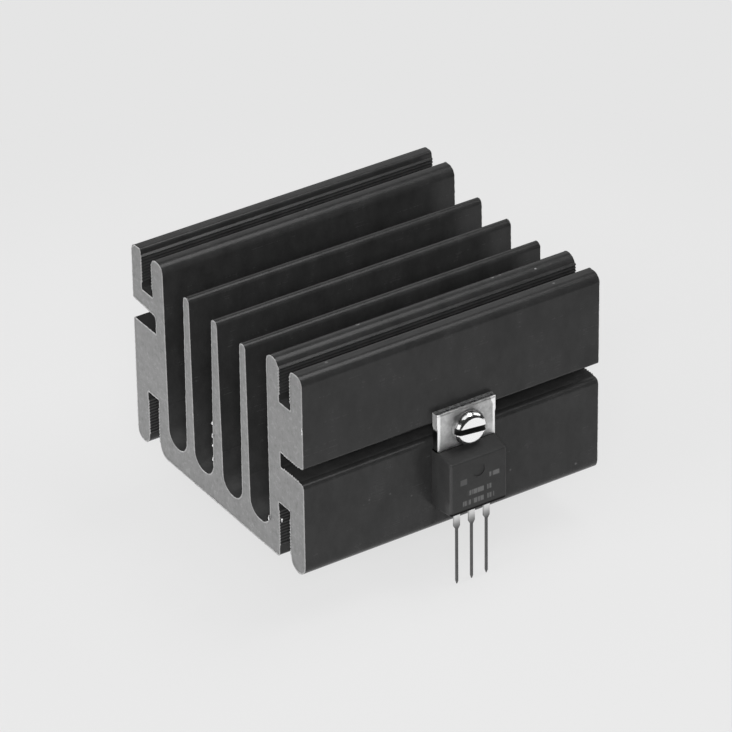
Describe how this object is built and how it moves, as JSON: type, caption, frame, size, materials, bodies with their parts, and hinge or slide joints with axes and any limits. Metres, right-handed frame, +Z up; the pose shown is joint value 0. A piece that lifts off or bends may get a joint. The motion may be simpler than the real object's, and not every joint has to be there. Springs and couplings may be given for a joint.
{
  "type": "transistor heat sink",
  "caption": "Finned extruded heat sink with serrated screw slots, and a flat-tab power transistor screwed to one side.",
  "frame": {"origin": "middle of the extrusion's flat underside, half way along it and half way across its profile", "axes": "+Z up from the underside to the fin tips, +Y along the extrusion, +X towards the side that carries the transistor"},
  "size_m": [0.0497, 0.05, 0.0412],
  "materials": {
    "black_anodised": "black anodised skin, bare sawn ends",
    "screw_plating": "bright plated",
    "tinned_copper": "satin tin plating",
    "black_moulding": "matt moulded",
    "silicon": "polished",
    "bond_wire": "drawn"
  },
  "bodies": {
    "root": {"heat_sink": "black_anodised", "tab_screw": "screw_plating", "transistor_tab": "tinned_copper", "transistor_lead_near": "tinned_copper", "transistor_lead_far": "tinned_copper", "transistor_moulding": "black_moulding", "transistor_die": "silicon", "bond_wire_near": "bond_wire", "bond_wire_far": "bond_wire"}
  },
  "joints": []
}
